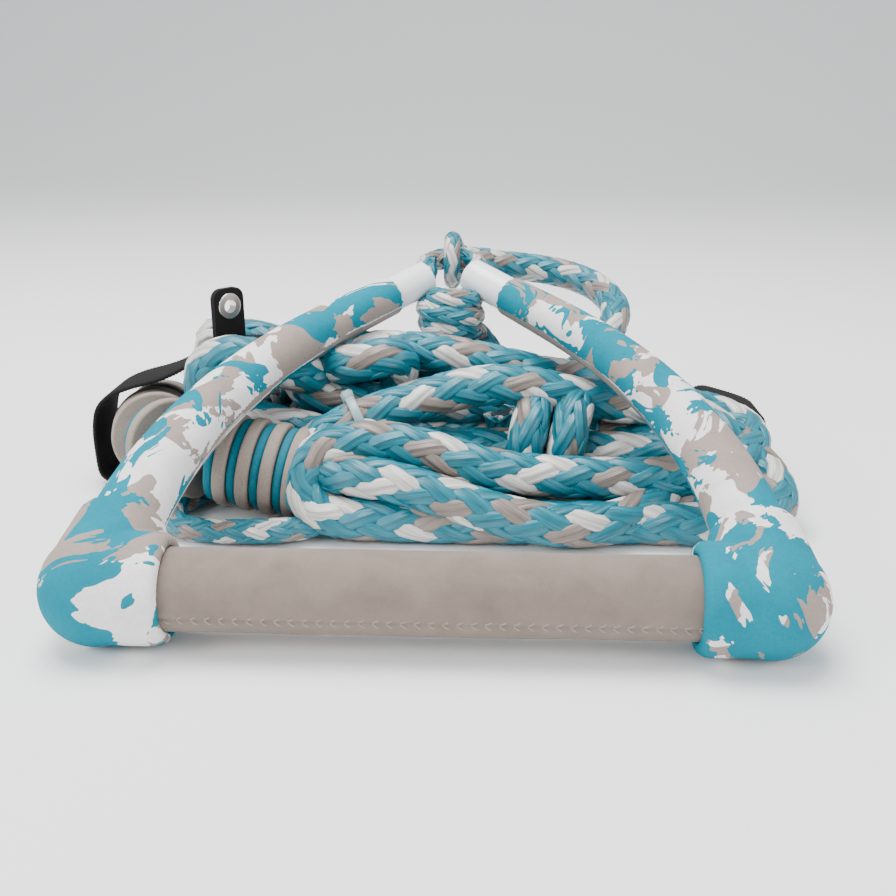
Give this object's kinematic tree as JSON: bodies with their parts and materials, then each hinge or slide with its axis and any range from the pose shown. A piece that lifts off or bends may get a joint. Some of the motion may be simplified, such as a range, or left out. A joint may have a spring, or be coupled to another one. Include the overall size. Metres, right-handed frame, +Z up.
{
  "type": "tow rope handle",
  "caption": "Wakesurf tow rope handle: suede grip, foam camo caps and arms, bundled braided rope with foam float discs, webbing straps and a hanging tab.",
  "frame": {"origin": "middle of the handle's footprint, on the surface it rests on", "axes": "+X along the grip, +Y from the grip to the rope's end, +Z up"},
  "size_m": [0.3681, 0.2925, 0.127],
  "materials": {
    "suede": "napped suede",
    "grip_foam": "closed-cell foam",
    "bar_aluminium": "drawn",
    "nylon": "moulded",
    "camo_foam": "moulded foam in three colours",
    "white_tube": "gloss",
    "rope_braid": "braided polyethylene",
    "float_grey": "cut foam",
    "float_teal": "cut foam",
    "webbing": "ribbed webbing",
    "nickel": "nickel plate",
    "tie_plastic": "translucent"
  },
  "bodies": {
    "rope_bundle": {"rope_eye": "rope_braid", "rope_splice": "rope_braid", "rope_knot": "rope_braid", "rope_lead": "rope_braid", "rope_hank": "rope_braid", "rope_hank_left": "rope_braid", "rope_under": "rope_braid", "float_rope": "rope_braid", "keeper_strap_left": "webbing", "keeper_strap_right": "webbing", "cable_tie": "tie_plastic"},
    "handle": {"grip_cover": "suede", "grip_foam": "grip_foam", "bar_tube": "bar_aluminium", "bar_plug_left": "nylon", "bar_plug_right": "nylon", "end_cap_left": "camo_foam", "end_cap_right": "camo_foam", "arm_sleeve_left": "camo_foam", "arm_sleeve_right": "camo_foam", "tube_left": "white_tube", "tube_right": "white_tube", "bridle_rope": "rope_braid"},
    "hanging_tab": {"tab_webbing": "webbing", "eyelet": "nickel", "eyelet_washer": "nickel"},
    "float_01": {"float_01_grey": "float_grey", "float_01_teal": "float_teal"},
    "float_02": {"float_02_grey": "float_grey", "float_02_teal": "float_teal"},
    "float_03": {"float_03_grey": "float_grey", "float_03_teal": "float_teal"},
    "float_04": {"float_04_grey": "float_grey", "float_04_teal": "float_teal"},
    "float_05": {"float_05_grey": "float_grey", "float_05_teal": "float_teal"},
    "float_06": {"float_06_grey": "float_grey", "float_06_teal": "float_teal"},
    "float_07": {"float_07_grey": "float_grey", "float_07_teal": "float_teal"},
    "float_08": {"float_08_grey": "float_grey", "float_08_teal": "float_teal"},
    "float_09": {"float_09_grey": "float_grey", "float_09_teal": "float_teal"},
    "float_10": {"float_10_grey": "float_grey", "float_10_teal": "float_teal"}
  },
  "joints": [
    {"name": "handle_swing", "type": "hinge", "parent": "rope_bundle", "child": "handle", "pos_m": [0, 0.12515, 0.11217], "axis": [-1, 0, 0], "range_deg": [0, 75]},
    {"name": "tab_fold", "type": "hinge", "parent": "rope_bundle", "child": "hanging_tab", "pos_m": [-0.118, 0.07585, 0.0779], "axis": [0.6428, 0.766, 0], "range_deg": [-50, 50], "stiffness_Nm_per_rad": 0.02},
    {"name": "float_01_spin", "type": "hinge", "parent": "rope_bundle", "child": "float_01", "pos_m": [-0.07401, 0.01399, 0.02606], "axis": [-0.9814, 0.1085, 0.1581], "continuous": true},
    {"name": "float_02_spin", "type": "hinge", "parent": "rope_bundle", "child": "float_02", "pos_m": [-0.08539, 0.01525, 0.02789], "axis": [-0.9814, 0.1085, 0.1581], "continuous": true},
    {"name": "float_03_spin", "type": "hinge", "parent": "rope_bundle", "child": "float_03", "pos_m": [-0.09677, 0.01651, 0.02973], "axis": [-0.9814, 0.1085, 0.1581], "continuous": true},
    {"name": "float_04_spin", "type": "hinge", "parent": "rope_bundle", "child": "float_04", "pos_m": [-0.10806, 0.01775, 0.03155], "axis": [-0.9814, 0.1085, 0.1581], "continuous": true},
    {"name": "float_05_spin", "type": "hinge", "parent": "rope_bundle", "child": "float_05", "pos_m": [-0.12565, 0.0214, 0.03394], "axis": [-0.9233, 0.3762, 0.0771], "continuous": true},
    {"name": "float_06_spin", "type": "hinge", "parent": "rope_bundle", "child": "float_06", "pos_m": [-0.14327, 0.03362, 0.0341], "axis": [-0.7007, 0.7117, -0.0503], "continuous": true},
    {"name": "float_07_spin", "type": "hinge", "parent": "rope_bundle", "child": "float_07", "pos_m": [-0.15414, 0.05099, 0.03179], "axis": [-0.3263, 0.9303, -0.1676], "continuous": true},
    {"name": "float_08_spin", "type": "hinge", "parent": "rope_bundle", "child": "float_08", "pos_m": [-0.15834, 0.0633, 0.02955], "axis": [-0.318, 0.9328, -0.1696], "continuous": true},
    {"name": "float_09_spin", "type": "hinge", "parent": "rope_bundle", "child": "float_09", "pos_m": [-0.16251, 0.07709, 0.02724], "axis": [-0.1889, 0.9739, -0.1258], "continuous": true},
    {"name": "float_10_spin", "type": "hinge", "parent": "rope_bundle", "child": "float_10", "pos_m": [-0.16246, 0.0981, 0.026], "axis": [0.1644, 0.9864, 0], "continuous": true}
  ]
}
